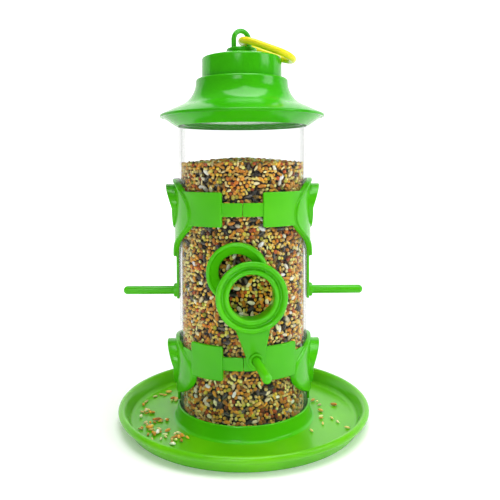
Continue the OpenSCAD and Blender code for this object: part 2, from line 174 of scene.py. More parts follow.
def seed_coat(name, roughness, streak):
    """Dry seed: each one's own colour from its husk attribute, mottled and streaked over its skin."""
    material, tree = blank(name)
    husk = add(tree, "Attribute", attribute_name="husk").outputs["Color"]
    place = add(tree, "TexCoord").outputs["Object"]
    mottle = add(tree, "TexNoise", {"Vector": place, "Scale": 1 / (1.4 * MM), "Detail": 3.0,
                                    "Roughness": 0.6})
    shade = add(tree, "MapRange", {"Value": mottle.outputs[0], "From Min": 0.3, "From Max": 0.7,
                                   "To Min": 1 - streak, "To Max": 1 + streak * 0.6})
    skin = add(tree, "HueSaturation", {"Color": husk, "Value": shade.outputs[0]})
    relief = add(tree, "Bump", {"Height": mottle.outputs[0], "Strength": 0.5, "Distance": 0.25 * MM})
    coat = add(tree, "BsdfPrincipled", {"Base Color": skin.outputs[0], "Roughness": roughness,
                                        "Normal": relief.outputs[0], "IOR": 1.46})
    add(tree, "OutputMaterial", {"Surface": coat.outputs[0]})
    return material


def seed_gap_shade():
    """What shows between the seeds: a near-black painted shade, mottled a little."""
    material, tree = blank("seed_gap_painted_shade")
    place = add(tree, "TexCoord").outputs["Object"]
    grain = add(tree, "TexNoise", {"Vector": place, "Scale": 1 / (3 * MM), "Detail": 4.0})
    tone = add(tree, "Mix", {0: grain.outputs[0], 6: linear("#0d0703"), 7: linear("#2a1a0b")},
               data_type="RGBA")
    gap_shade_surface = add(tree, "BsdfPrincipled", {"Base Color": tone.outputs[2], "Roughness": 0.9})
    add(tree, "OutputMaterial", {"Surface": gap_shade_surface.outputs[0]})
    return material


def plated_steel():
    """Bright zinc-plated spring steel: fine stamping grain and a soft metal shine."""
    material, tree = blank("zinc_plated_steel")
    place = add(tree, "TexCoord").outputs["Object"]
    grain = add(tree, "TexNoise", {"Vector": place, "Scale": 1 / (0.8 * MM), "Detail": 3.0})
    gloss = add(tree, "MapRange", {"Value": grain.outputs[0], "To Min": 0.25, "To Max": 0.45})
    relief = add(tree, "Bump", {"Height": grain.outputs[0], "Strength": 0.2, "Distance": 0.05 * MM})
    metal = add(tree, "BsdfPrincipled", {"Base Color": linear("#c9cccd"), "Metallic": 1.0,
                                         "Roughness": gloss.outputs[0], "Normal": relief.outputs[0]})
    add(tree, "OutputMaterial", {"Surface": metal.outputs[0]})
    return material


LEAF = moulded_plastic("leaf_green_polypropylene_moulded", "#54c60e", "#44b808", 0.2)
# The tray's copy of the same green is painted lighter and yellower: painted light where the roof shades its
# floor
LEAF_TRAY_PAINTED_LIGHT = moulded_plastic("leaf_green_polypropylene_tray_painted_light", "#6ac60c", "#58b608", 0.22, ripple_mm=14)
# The lid's copy of the same green is painted darker: painted shade on the roof, cap, plug and eyelet
LEAF_LID_PAINTED_SHADE = moulded_plastic("leaf_green_polypropylene_lid_painted_shade", "#3eb809", "#32a806", 0.15, ripple_mm=16)
YELLOW = moulded_plastic("yellow_polypropylene_moulded", "#f6ea22", "#efdf18", 0.2)
CLEAR = clear_tube_plastic()
GRAIN_COAT = seed_coat("dry_cereal_grain", 0.5, 0.16)
SHELL_COAT = seed_coat("dry_sunflower_shell", 0.42, 0.2)
GAP_SHADE = seed_gap_shade()
STEEL = plated_steel()

# ---------------------------------------------------------------- mesh tools


def arc(x, y, r, start, end, steps=8):
    """Points on an arc, angles in degrees."""
    turns = [math.radians(start + (end - start) * i / steps) for i in range(steps + 1)]
    return [(x + r * math.cos(a), y + r * math.sin(a)) for a in turns]


def lathe(outline, steps=144):
    """Turns a closed outline of (radius, height) points round +Z. A third number rounds that corner."""
    bm = bmesh.new()
    verts = [bm.verts.new((point[0], 0, point[1])) for point in outline]
    for a, b in zip(verts, verts[1:] + verts[:1]):
        bm.edges.new((a, b))
    for vert, point in zip(verts, outline):
        if len(point) > 2:
            bmesh.ops.bevel(bm, geom=[vert], offset=point[2], offset_type="OFFSET", segments=4, profile=0.5,
                            affect="VERTICES", material=-1)
    axis_edges = [e for e in bm.edges if all(abs(v.co.x) < 1e-6 for v in e.verts)]
    bmesh.ops.delete(bm, geom=axis_edges, context="EDGES")
    bmesh.ops.spin(bm, geom=bm.verts[:] + bm.edges[:], cent=(0, 0, 0), axis=(0, 0, 1), dvec=(0, 0, 0),
                   angle=2 * math.pi, steps=steps, use_merge=True, use_duplicate=False)
    bmesh.ops.remove_doubles(bm, verts=bm.verts, dist=1e-4)
    bmesh.ops.recalc_face_normals(bm, faces=bm.faces)
    return bm


def curve_shape(curve):
    """The bmesh of a curve, which is removed."""
    holder = bpy.data.objects.new("outline", curve)
    bpy.context.scene.collection.objects.link(holder)
    bpy.context.view_layer.update()
    mesh = bpy.data.meshes.new_from_object(holder.evaluated_get(bpy.context.evaluated_depsgraph_get()))
    bpy.data.objects.remove(holder)
    bpy.data.curves.remove(curve)
    bm = bmesh.new()
    bm.from_mesh(mesh)
    bpy.data.meshes.remove(mesh)
    return bm


def flat_plate(outline, holes, thickness, edge):
    """Flat plate in the XY plane with rounded rims, its outer face at z 0, from an outline and its
    holes."""
    curve = bpy.data.curves.new("outline", "CURVE")
    curve.dimensions = "2D"
    curve.fill_mode = "BOTH"
    curve.extrude = thickness / 2 - edge
    curve.bevel_depth = edge
    curve.bevel_resolution = 2
    curve.offset = -edge
    for points in [outline] + holes:
        spline = curve.splines.new("POLY")
        spline.points.add(len(points) - 1)
        for target, (x, y) in zip(spline.points, points):
            target.co = (x, y, 0, 1)
        spline.use_cyclic_u = True
    bm = curve_shape(curve)
    bmesh.ops.remove_doubles(bm, verts=bm.verts, dist=1e-3)
    bmesh.ops.translate(bm, verts=bm.verts, vec=(0, 0, -thickness / 2))
    bmesh.ops.recalc_face_normals(bm, faces=bm.faces)
    return bm


def slice_across(bm, step=2.2):
    """Cuts a flat plate into narrow strips along X, so that it can be bent."""
    low, high = min(v.co.x for v in bm.verts), max(v.co.x for v in bm.verts)
    for i in range(1, int((high - low) / step) + 1):
        bmesh.ops.bisect_plane(bm, geom=bm.verts[:] + bm.edges[:] + bm.faces[:], dist=1e-5,
                               plane_co=(low + i * step, 0, 0), plane_no=(1, 0, 0))
    return bm


def drape(bm, radius):
    """Lays a plate that is seen in plan on the tube: its outer face comes to the radius."""
    slice_across(bm)
    for vert in bm.verts:
        reach = radius + vert.co.z
        vert.co.z = math.sqrt(max(reach * reach - vert.co.x ** 2, 1))
    return bm


def bend_round(bm, radius):
    """Rolls a flat strip round the tube: X becomes an arc of the radius, in a frame that looks along its
    middle."""
    slice_across(bm)
    for vert in bm.verts:
        angle, reach = vert.co.x / radius, radius + vert.co.z
        vert.co.x, vert.co.z = reach * math.sin(angle), reach * math.cos(angle)
    return bm


def at_port(azimuth, height):
    """Place whose +Z points outwards at an azimuth, with +Y up."""
    turn = Matrix.Rotation(math.radians(azimuth), 4, "Z") @ Matrix.Rotation(math.radians(90), 4, "X")
    return Matrix.Translation((0, 0, height)) @ turn


def put(bm, place):
    bmesh.ops.transform(bm, matrix=place, verts=bm.verts)
    return bm


def together(*parts):
    """One bmesh that holds several closed shapes of one moulding."""
    joined = bmesh.new()
    for part in parts:
        mesh = bpy.data.meshes.new("part")
        part.to_mesh(mesh)
        part.free()
        joined.from_mesh(mesh)
        bpy.data.meshes.remove(mesh)
    return joined


def turned_half(bm):
    """The same shape on the other side of the feeder, turned half round."""
    return put(bm, Matrix.Rotation(math.pi, 4, "Z"))


def mirrored(bm):
    """The same shape on the left."""
    bmesh.ops.scale(bm, vec=(-1, 1, 1), verts=bm.verts)
    bmesh.ops.reverse_faces(bm, faces=bm.faces)
    return bm


def finished(bm, name, body, material, stands_for=(), sharp=38):
    """Makes a piece of a bmesh in millimetres: metres, shading, material, body and the nodes it
    stands for."""
    bmesh.ops.scale(bm, vec=(MM, MM, MM), verts=bm.verts)
    mesh = bpy.data.meshes.new(name)
    bm.to_mesh(mesh)
    bm.free()
    mesh.shade_smooth()
    mesh.set_sharp_from_angle(angle=math.radians(sharp))
    mesh.materials.append(material)
    piece = bpy.data.objects.new(name, mesh)
    bpy.context.scene.collection.objects.link(piece)
    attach(piece, body)
    if stands_for:
        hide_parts(*stands_for)
    return piece


def cut_out(bm, cutter):
    """Takes the cutter's space out of a closed shape."""
    meshes = []
    for part in (bm, cutter):
        mesh = bpy.data.meshes.new("part")
        part.to_mesh(mesh)
        part.free()
        meshes.append(bpy.data.objects.new("part", mesh))
        bpy.context.scene.collection.objects.link(meshes[-1])
    body, tool = meshes
    knife = body.modifiers.new("notch", "BOOLEAN")
    knife.operation, knife.solver, knife.object = "DIFFERENCE", "EXACT", tool
    bpy.context.view_layer.update()
    mesh = bpy.data.meshes.new_from_object(body.evaluated_get(bpy.context.evaluated_depsgraph_get()))
    left = bmesh.new()
    left.from_mesh(mesh)
    for holder in meshes:
        data = holder.data
        bpy.data.objects.remove(holder)
        bpy.data.meshes.remove(data)
    bpy.data.meshes.remove(mesh)
    return left


# ---------------------------------------------------------------- tray and socket


def tray():
    lip_r = 2.9
    wall_r = TRAY_R - 3.2
    foot_r = wall_r - 4.5
    floor_r = foot_r - 5.4
    outline = [(0, 0.6), (foot_r - 9, 0.6), (foot_r - 7, 0, 0.6)]
    outline += arc(foot_r - 2, 2, 2, -90, -25, 5)
    outline += [(wall_r, TRAY_H - 6, 0.8), (wall_r + 0.5, TRAY_H - 5.4)]
    outline += arc(TRAY_R - lip_r, TRAY_H - lip_r, lip_r, -50, 125, 14)
    outline += [(TRAY_R - 6.2, TRAY_H - 2.4, 0.5)]
    outline += arc(floor_r, TRAY_FLOOR + 4, 4, 0, -90, 8)
    outline += [(0, TRAY_FLOOR)]
    finished(lathe(outline, 180), "tray_dish", "base", LEAF_TRAY_PAINTED_LIGHT, ["tray"])


def socket():
    in_r = TUBE_R + 0.3
    top_r = in_r + 2
    floor_z = TUBE_FOOT - GAP
    foot_r = SOCKET_FOOT_R - 1
    outline = [(0, TRAY_FLOOR - 0.4), (foot_r, TRAY_FLOOR - 0.4), (foot_r, TRAY_FLOOR + 0.02)]
    outline += arc(foot_r, TRAY_FLOOR + 2.7, 2.68, -90, -165, 6)
    outline += arc(top_r - 1, SOCKET_H - 1, 1, 0, 180, 8)[:-1]
    outline += [(in_r, SOCKET_H - 1.2), (in_r, floor_z, 0.4), (0, floor_z)]
    finished(lathe(outline), "socket_cup", "base", LEAF, ["tube_socket"])


def seed_cone():
    base_r = TUBE_R - TUBE_WALL - 0.6
    outline = [(0, TUBE_FOOT - GAP), (base_r, TUBE_FOOT - GAP), (base_r, TUBE_FOOT + 1.4, 0.5),
               (4, CONE_TOP, 1.5), (0, CONE_TOP)]
    finished(lathe(outline, 96), "seed_spreader_cone", "base", LEAF, ["seed_cone"])


# ---------------------------------------------------------------- clear tube


def rod(r, start, end, edge=0.4, steps=64):
    """Solid rod along +Z with rounded rims."""
    return lathe([(0, start), (r, start, edge), (r, end, edge), (0, end)], steps)


def seed_tube():
    """Clear tube, cut through where each port's sleeve passes."""
    in_r = TUBE_R - TUBE_WALL
    tube = lathe([(in_r, TUBE_FOOT), (TUBE_R, TUBE_FOOT, 0.4), (TUBE_R, TUBE_TOP, 0.5),
                  (in_r, TUBE_TOP, 0.5)], 160)
    side_r, front_r, ring_r = PORT_R + 2 + GAP, FRONT_OPEN_R + 2 + GAP, RING_OPEN_R + 2 + GAP
    bores = [(side, z, side_r) for side in (-90, 90) for z in (UPPER_PORT_Z, LOWER_PORT_Z)]
    for turn in (0, 180):
        bores += [(FRONT_AZ + turn, FRONT_Z, front_r), (RING_AZ + turn, RING_Z, ring_r)]
    for azimuth, z, r in bores:
        tube = cut_out(tube, put(rod(r, TUBE_R - 12, TUBE_R + 6), at_port(azimuth, z)))
    finished(tube, "clear_seed_tube", "tube", CLEAR, ["seed_tube"], sharp=30)


# ---------------------------------------------------------------- collars, hoods and perches


def ellipse(a, b, steps=96):
    turns = [2 * math.pi * i / steps for i in range(steps)]
    return [(a * math.cos(t), b * math.sin(t)) for t in turns]


def soft_corners(half_w, half_h, r):
    """Outline of a rectangle with round corners."""
    points = []
    for sx, sy, start in ((1, 1, 0), (-1, 1, 90), (-1, -1, 180), (1, -1, 270)):
        points += arc(sx * (half_w - r), sy * (half_h - r), r, start, start + 90, 4)
    return points


def strip(r_out, az_from, az_to, z, height, corner):
    """Part of a band round the tube."""
    half_w = math.radians(az_to - az_from) * r_out / 2
    plate = flat_plate(soft_corners(half_w, height / 2, corner), [], r_out - TUBE_R - GAP, 0.5)
    return put(bend_round(plate, r_out), at_port((az_from + az_to) / 2, z))


def boss(azimuth, z, end):
    """Short collar that holds a perch."""
    ring = lathe([(PERCH_R + GAP, TUBE_R + 0.6), (BOSS_R, TUBE_R + 0.6), (BOSS_R, end, 0.9),
                  (PERCH_R + GAP, end, 0.5)], 48)
    return put(ring, at_port(azimuth, z))


def leaf_outline(half_w, top, waist, foot, tail_w, steps=40):
    """A round top over its widest line, which draws in below to the width of a tail."""
    points = [(half_w * math.cos(a), waist + (top - waist) * math.sin(a))
              for a in [math.pi * i / (2 * steps) for i in range(2 * steps + 1)]]
    for i in range(1, steps + 1):
        share = (i / steps) ** 1.15
        x = tail_w + (half_w - tail_w) * (0.5 + 0.5 * math.cos(math.pi * share))
        points.append((-x, waist + (foot - waist) * i / steps))
    return points + [(-x, y) for x, y in reversed(points[2 * steps + 1:])]


def rim_bead(outline, inset, radius, thick):
    """Round bead that stands along the edge of a draped plate."""
    curve = bpy.data.curves.new("bead", "CURVE")
    curve.dimensions = "3D"
    curve.bevel_depth, curve.bevel_resolution = thick, 3
    spline = curve.splines.new("POLY")
    spline.points.add(len(outline) - 1)
    centre_y = sum(y for _, y in outline) / len(outline)
    for target, (x, y) in zip(spline.points, outline):
        pull = 1 - inset / math.hypot(x, y - centre_y)
        x, y = x * pull, centre_y + (y - centre_y) * pull
        target.co = (x, y, math.sqrt(radius ** 2 - x * x), 1)
    spline.use_cyclic_u = True
    bm = curve_shape(curve)
    bmesh.ops.recalc_face_normals(bm, faces=bm.faces)
    return bm


def collar(port_z, band_z, tail_foot_z, with_boss):
    """Half a collar on the right: bands, port flange with its raised rim, and tail."""
    parts = []
    wide_to = WIDE_TO if with_boss else FLANGE_AZ + 3
    for flip in (False, True):
        for r_out, start, end, height, corner in ((NARROW_R, 0.12, WIDE_TO, NARROW_H, 0.9),
                                                  (WIDE_R, WIDE_FROM, wide_to, WIDE_H, 1.6)):
            ends = (180 - end, 180 - start) if flip else (start, end)
            parts.append(strip(r_out, *ends, band_z, height, corner))
    half_w = FLANGE_R * math.sin(math.radians(FLANGE_AZ))
    edge = leaf_outline(half_w, FLANGE_H, -6, -43, 8.4) if with_boss else ellipse(half_w, FLANGE_H)
    flange = flat_plate(edge, [ellipse(PORT_R + 2.1, PORT_R + 2.1, 64)], 3.5, 0.8)
    parts.append(put(drape(flange, FLANGE_R), at_port(90, port_z)))
    if with_boss:
        parts.append(put(rim_bead(edge, 1.3, FLANGE_R + 0.1, 1.3), at_port(90, port_z)))
    top, foot = -FLANGE_H + 5, tail_foot_z - port_z
    tail = arc(-BOSS_R + 2, foot + 2, 2, 180, 270, 4) + arc(BOSS_R - 2, foot + 2, 2, 270, 360, 4)
    tail += [(8.6, top), (-8.6, top)]
    parts.append(put(drape(flat_plate(tail, [], 2.3, 0.6), TUBE_R + 2.4), at_port(90, port_z)))
    if with_boss:
        parts.append(boss(90, SIDE_PERCH_Z, TUBE_R + 5))
    return together(*parts)


def port_hood(z):
    """Sleeve through a side port whose outer end slants out into a hood."""
    base, flush = TUBE_R, FLANGE_R + 0.7
    ring = lathe([(PORT_R, SLEEVE_FROM, 0.4), (PORT_R + 2, SLEEVE_FROM, 0.4), (PORT_R + 2, base),
                  (HOOD_R, base),
                  (HOOD_R, HOOD_TOP, 1.0), (PORT_R, HOOD_TOP, 0.8)], 96)
    for vert in ring.verts:
        if vert.co.z > base - 0.01:
            seat = math.sqrt((FLANGE_R - 0.4) ** 2 - vert.co.x ** 2)
            rise = min(max((vert.co.y + 1) / (HOOD_R + 1), 0), 1)
            end = flush + rise * (HOOD_TOP - flush)
            share = (vert.co.z - base) / (HOOD_TOP - base)
            vert.co.z = seat + share * (end - seat)
    return put(ring, at_port(90, z))


def perch(azimuth, z):
    outline = [(0, TUBE_R + 2), (PERCH_R, TUBE_R + 2, 0.4)] + arc(0, PERCH_TIP - PERCH_R, PERCH_R, 0, 90, 8)
    return put(lathe(outline, 32), at_port(azimuth, z))


def collars_and_perches():
    for level, port_z, band_z, foot_z in (("upper", UPPER_PORT_Z, UPPER_BAND_Z, SIDE_PERCH_Z - BOSS_R - 1),
                                          ("lower", LOWER_PORT_Z, LOWER_BAND_Z, SOCKET_H + 1.5)):
        for side in ("right", "left"):
            half = collar(port_z, band_z, foot_z, level == "upper")
            hood = port_hood(port_z)
            if side == "left":
                half, hood = mirrored(half), mirrored(hood)
            finished(half, f"{level}_{side}_collar_half", "tube", LEAF,
                     [f"{level}_collar_{side}"])
            finished(hood, f"{level}_{side}_port_hood", "tube", LEAF,
                     [f"{level}_hood_{side}"])
    for name, azimuth, z in (("upper_right", 90, SIDE_PERCH_Z), ("upper_left", -90, SIDE_PERCH_Z),
                             ("front", FRONT_PERCH_AZ, FRONT_PERCH_Z),
                             ("back", FRONT_PERCH_AZ + 180, FRONT_PERCH_Z)):
        node = f"perch_{name}"
        finished(perch(azimuth, z), f"{name}_perch_rod", "tube", LEAF, [node])


# ---------------------------------------------------------------- front and back ports


def flanged_port():
    """Round port with a rolled lip, seated on the tube and notched where the ring's sleeve passes."""
    sleeve_r, face, base = FRONT_OPEN_R + 2, TUBE_R + 6.4, TUBE_R - 2
    outline = [(FRONT_OPEN_R, SLEEVE_FROM, 0.4), (sleeve_r, SLEEVE_FROM, 0.4), (sleeve_r, base),
               (FRONT_R - 3.5, base),
               (FRONT_R, base)]
    outline += arc(FRONT_R - 1.6, face - 1.6, 1.6, 0, 175, 8)
    outline += [(FRONT_R - 3.6, face - 2.3, 0.8), (FRONT_OPEN_R, TUBE_R + 1.2, 0.8)]
    port = lathe(outline, 112)
    for vert in port.verts:
        if abs(vert.co.z - base) < 0.01:
            vert.co.z = math.sqrt((TUBE_R + GAP) ** 2 - vert.co.x ** 2)
    put(port, at_port(FRONT_AZ, FRONT_Z))
    notch = put(rod(RING_OPEN_R + 2 + GAP, TUBE_R - 15, TUBE_R + 20), at_port(RING_AZ, RING_Z))
    return cut_out(port, notch)


def teardrop(r_top, r_foot, x, drop):
    """A large circle at the origin joined by its tangents to a small one at (x, -drop)."""
    reach = math.hypot(x, drop)
    lean = math.degrees(math.atan2(x, drop))
    cut = math.degrees(math.asin((r_top - r_foot) / reach))
    return (arc(0, 0, r_top, cut + lean, 180 - cut + lean, 40)
            + arc(x, -drop, r_foot, 180 - cut + lean, 360 + cut + lean, 20))


def feeding_ring():
    """Stepped dish on a sleeve, with a tail plate that carries the perch below it."""
    sleeve_r = RING_OPEN_R + 2
    outline = [(RING_OPEN_R, SLEEVE_FROM, 0.4), (sleeve_r, SLEEVE_FROM, 0.4),
               (sleeve_r, RING_STEP - 6, 1.5),
               (RING_R - 1.5, RING_STEP - 2.5, 1.0)]
    outline += arc(RING_R - 2.1, RING_FACE - 2.1, 2.1, -10, 178, 12)
    outline += [(RING_R - 4.3, RING_STEP - 0.6, 0.8), (RING_OPEN_R + 4.4, RING_STEP - 0.6, 0.6)]
    outline += arc(RING_OPEN_R + 2, RING_STEP, 2, 15, 180, 10)
    dish = put(lathe(outline, 128), at_port(RING_AZ, RING_Z))
    drop = RING_Z - FRONT_PERCH_Z
    shift = PLATE_R * math.sin(math.radians(FRONT_PERCH_AZ - RING_AZ))
    plate = flat_plate(teardrop(RING_R - 2, BOSS_R + 2.2, shift, drop),
                       [ellipse(sleeve_r - 0.5, sleeve_r - 0.5, 72)],
                       PLATE_R - TUBE_R - GAP, 1.2)
    plate = put(drape(plate, PLATE_R), at_port(RING_AZ, RING_Z))
    return together(dish, plate, boss(FRONT_PERCH_AZ, FRONT_PERCH_Z, TUBE_R + 7))


def front_and_back_ports():
    for side, turn in (("front", False), ("back", True)):
        for made, name, node in ((flanged_port(), "flanged_port", f"{side}_port"),
                                 (feeding_ring(), "stepped_feeding_ring", f"{side}_feeding_ring")):
            if turn:
                made = turned_half(made)
            finished(made, f"{side}_{name}", "tube", LEAF, [node])


# ---------------------------------------------------------------- lid


def lid_underside():
    plug_r, skirt_r, plug_reach = TUBE_R - TUBE_WALL - 0.3, TUBE_R + 0.3, 3
    deck = TUBE_TOP + 0.3
    rim_r, rim_z = BRIM_R - 2.3, BRIM_Z + 0.3
    outline = [(0, deck), (plug_r - 2.2, deck, 0.6), (plug_r - 2.2, deck - plug_reach, 0.6),
               (plug_r, deck - plug_reach, 0.8),
               (plug_r, deck), (skirt_r, deck), (skirt_r, deck - 4.3, 0.3),
               (skirt_r + 1.6, deck - 4.5, 0.5),
               (rim_r, rim_z, 0.4), (rim_r, rim_z + 1.2, 0.3), (skirt_r + 4, deck + 2, 1.0), (0, deck + 2)]
    finished(lathe(outline), "lid_plug_plate", "lid", LEAF_LID_PAINTED_SHADE, ["lid_plug"])


def roof():
    wall, neck_r, flare_r = 2.2, 39.5, 22.5
    flare = arc(neck_r + flare_r, SHOULDER_Z - 2, flare_r, 251, 180, 24)
    spigot_r = CAP_R - wall + GAP
    outer = [(BRIM_R, BRIM_Z, 0.5), (BRIM_R, BRIM_Z + 2.2, 0.7)] + flare + arc(neck_r - 2, SHOULDER_Z - 2,
                                                                               2, 0, 90, 6)
    inner = [(spigot_r, SHOULDER_Z), (spigot_r, SHOULDER_Z - wall),
             (neck_r - wall, SHOULDER_Z - wall - 2, 1.0)]
    inner += [(x - wall, z - wall) for x, z in reversed(flare)]
    rebate_z = BRIM_Z + 1.6
    inner += [(BRIM_R - 5.7, rebate_z), (BRIM_R - wall, rebate_z, 0.3), (BRIM_R - wall, BRIM_Z, 0.4)]
    finished(lathe(outer + inner, 180), "bell_roof", "lid", LEAF_LID_PAINTED_SHADE, ["roof"], sharp=30)


def cap():
    wall, edge = 2.2, 1.8
    side_top = SHOULDER_Z + 18.2
    spigot_r, dome_r = CAP_R - wall, DISC_R + 0.5
    outline = [(spigot_r - wall, SHOULDER_Z - 5, 0.4), (spigot_r, SHOULDER_Z - 5, 0.5),
               (spigot_r, SHOULDER_Z + GAP),
               (CAP_R, SHOULDER_Z + GAP, 0.5)]
    outline += arc(CAP_R - edge, side_top - edge, edge, 0, 80, 8) + arc(dome_r - 2, CAP_TOP - 9, 9, 70, 90,
                                                                        6)
    outline += [(4.1, CAP_TOP), (4.1, CAP_TOP - wall), (dome_r, CAP_TOP - wall),
                (spigot_r - wall, side_top - wall, 1.0)]
    finished(lathe(outline), "top_cap_cover", "lid", LEAF_LID_PAINTED_SHADE, ["top_cap"])


def wire_ring(r, place):
    """A bmesh that holds the wire's round section, and its edges."""
    bm = bmesh.new()
    bmesh.ops.create_circle(bm, cap_ends=False, radius=r, segments=20, matrix=place)
    return bm, bm.edges[:]


def run_on(bm, edges, move):
    """Carries the wire's open end straight on."""
    made = bmesh.ops.extrude_edge_only(bm, edges=edges)["geom"]
    verts = [g for g in made if isinstance(g, bmesh.types.BMVert)]
    bmesh.ops.translate(bm, verts=verts, vec=move)
    return [g for g in made if isinstance(g, bmesh.types.BMEdge) and all(v in verts for v in g.verts)]


def turn_on(bm, edges, centre, axis, degrees, steps=28):
    """Carries the wire's open end round a bend."""
    verts = list({v for e in edges for v in e.verts})
    made = bmesh.ops.spin(bm, geom=verts + edges, cent=centre, axis=axis, dvec=(0, 0, 0),
                          angle=math.radians(degrees), steps=steps, use_merge=False, use_duplicate=False)
    return [g for g in made["geom_last"] if isinstance(g, bmesh.types.BMEdge)]


def hanger():
    disc_top = CAP_TOP + DISC_H
    stem = lathe([(0, CAP_TOP - 4.8), (4, CAP_TOP - 4.8, 0.5), (4, CAP_TOP), (DISC_R, CAP_TOP, 0.4),
                  (DISC_R, disc_top, 1.2), (0, disc_top)], 96)
    arch, end = wire_ring(EYE_WIRE_R, Matrix.Translation((EYE_HALF_W, 0, disc_top - 1)))
    end = run_on(arch, end, (0, 0, EYE_LEG + 1))
    end = turn_on(arch, end, (0, 0, disc_top + EYE_LEG), (0, 1, 0), -180)
    run_on(arch, end, (0, 0, -EYE_LEG - 1))
    bmesh.ops.holes_fill(arch, edges=[e for e in arch.edges if e.is_boundary], sides=0)
    bmesh.ops.recalc_face_normals(arch, faces=arch.faces)
    put(arch, Matrix.Rotation(math.radians(EYE_TURN), 4, "Z"))
    finished(together(stem, arch), "hanger_eyelet", "lid", LEAF_LID_PAINTED_SHADE, ["hanger_eye"])


def link():
    """Oval link of round wire; its near bend turns in the eyelet."""
    straight = LINK_LENGTH - 2 * LINK_HALF_W
    start = Matrix.Translation((LINK_HALF_W, -LINK_HALF_W, 0)) @ Matrix.Rotation(math.radians(90), 4, "Y")
    wire, end = wire_ring(LINK_WIRE_R, start)
    end = run_on(wire, end, (straight, 0, 0))
    end = turn_on(wire, end, (LINK_HALF_W + straight, 0, 0), (0, 0, 1), 180, 40)
    end = run_on(wire, end, (-straight, 0, 0))
    turn_on(wire, end, (LINK_HALF_W, 0, 0), (0, 0, 1), 180, 40)
    bmesh.ops.remove_doubles(wire, verts=wire.verts, dist=1e-3)
    bmesh.ops.recalc_face_normals(wire, faces=wire.faces)
    put(wire, Matrix.Translation((0, 0, LINK_Z)) @ Matrix.Rotation(math.radians(LINK_SLOPE), 4, "Y"))
    finished(wire, "yellow_hanging_link", "link", YELLOW, ["hanging_link"])


def washer():
    """The push-on washer inside the cap keeps the frame's own shape."""
    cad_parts["eye_washer"].data.materials.clear()
    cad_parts["eye_washer"].data.materials.append(STEEL)


# ---------------------------------------------------------------- seed

SEED_R = TUBE_R - TUBE_WALL - 0.3
SEED_SIDE_TOP = SEED_TOP - 4.5
# Kind of seed: length, width and thickness in millimetres, share of the mix, colours, and how much
# its tip narrows
SEED_KINDS = {
    "millet": ((2.9, 2.6, 2.4), 0.48, ("#fbc944", "#ffe07e", "#eea526", "#f8d888"), 0.0),
    "milo": ((3.5, 3.2, 2.9), 0.14, ("#b95414", "#d37a20", "#92400f", "#e2962f"), 0.0),
    "canary_seed": ((4.9, 2.2, 1.9), 0.13, ("#f2d074", "#dfaa3a", "#f8e4a2"), 0.35),
    "wheat": ((5.8, 3.1, 2.7), 0.1, ("#dc9a2c", "#c47c1e", "#ecb250"), 0.25),
    "safflower": ((6.0, 3.6, 2.9), 0.04, ("#fdf2d4", "#f2e0b0", "#fff8e8"), 0.35),
    "mung_bean": ((3.8, 3.3, 3.1), 0.05, ("#bdb62e", "#a2a42c", "#d8cc4a"), 0.0),
    "sunflower": ((6.9, 3.6, 2.7), 0.035, ("#181410", "#26201b", "#3c332b"), 0.5),
}
BIG = 5.5
luck = np.random.default_rng(11)


def seed_shape(size, narrowing):
    """Corners and faces of one seed about its centre, long way along X, from a ball."""
    bm = bmesh.new()
    sides = 8 if size[0] > BIG else 6
    bmesh.ops.create_uvsphere(bm, u_segments=sides, v_segments=5, radius=0.5,
                              matrix=Matrix.Rotation(math.radians(90), 4, "Y"))
    bm.verts.ensure_lookup_table()
    corners = np.array([v.co for v in bm.verts])
    faces = [[v.index for v in f.verts] for f in bm.faces]
    bm.free()
    pinch = 1 - narrowing * np.clip(corners[:, :1] + 0.5, 0, 1) ** 1.5
    stripe = np.cos(np.arctan2(corners[:, 2], corners[:, 1]) * 4)
    corners = corners * np.array(size)
    corners[:, 1:] *= pinch
    return corners, faces, stripe


def seed_mesh(name, kind, places, frames, body, coat, shade=1.0):
    """One piece that holds every seed of a kind: places are centres, frames their turned axes, and shade
    darkens their colour as painted shade."""
    size, _, colours, narrowing = SEED_KINDS[kind]
    corners, faces, stripe = seed_shape(size, narrowing)
    count, each = len(places), len(corners)
    grow = luck.uniform(0.86, 1.12, (count, 1, 1))
    points = np.einsum("nij,nvj->nvi", frames, corners[None] * grow) + places[:, None]
    palette = np.array([linear(c)[:3] for c in colours])
    # shade below 1 darkens the seeds' colour: painted shade for a deeper layer
    tint = palette[luck.integers(0, len(palette), count)] * luck.uniform(0.72, 1.4, (count, 1)) * shade
    husk = np.repeat(tint[:, None], each, axis=1)
    if kind == "sunflower":
        pale = np.array(linear("#b9b3a8")[:3])
        share = (np.clip(stripe, 0, 1) * 0.4)[None, :, None] * luck.uniform(0.2, 1, (count, 1, 1))
        husk = husk * (1 - share) + pale * share
    mesh = bpy.data.meshes.new(name)
    every = [[i * each + v for v in face] for i in range(count) for face in faces]
    mesh.from_pydata((points.reshape(-1, 3) * MM).tolist(), [], every)
    colour = mesh.attributes.new("husk", "FLOAT_COLOR", "POINT")
    rgba = np.concatenate([np.clip(husk, 0, 1), np.ones((count, each, 1))], axis=2)
    colour.data.foreach_set("color", rgba.astype(np.float32).ravel())
    mesh.shade_smooth()
    mesh.materials.append(coat)
    piece = bpy.data.objects.new(name, mesh)
    bpy.context.scene.collection.objects.link(piece)
    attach(piece, body)
    return piece


def turned_axes(outward, tilt=0.35):
    """Axes of seeds that lie flat against a surface, each turned its own way and tilted a little."""
    count = len(outward)
    up = np.where(np.abs(outward[:, 2:]) > 0.9, np.array([[1.0, 0, 0]]), np.array([[0, 0, 1.0]]))
    across = np.cross(up, outward)
    across /= np.linalg.norm(across, axis=1, keepdims=True)
    upward = np.cross(outward, across)
    spin = luck.uniform(0, 2 * np.pi, (count, 1))
    long = across * np.cos(spin) + upward * np.sin(spin) + outward * luck.normal(0, tilt, (count, 1))
    long /= np.linalg.norm(long, axis=1, keepdims=True)
    wide = np.cross(outward, long)
    wide /= np.linalg.norm(wide, axis=1, keepdims=True)
    return np.stack([long, wide, np.cross(long, wide)], axis=2)


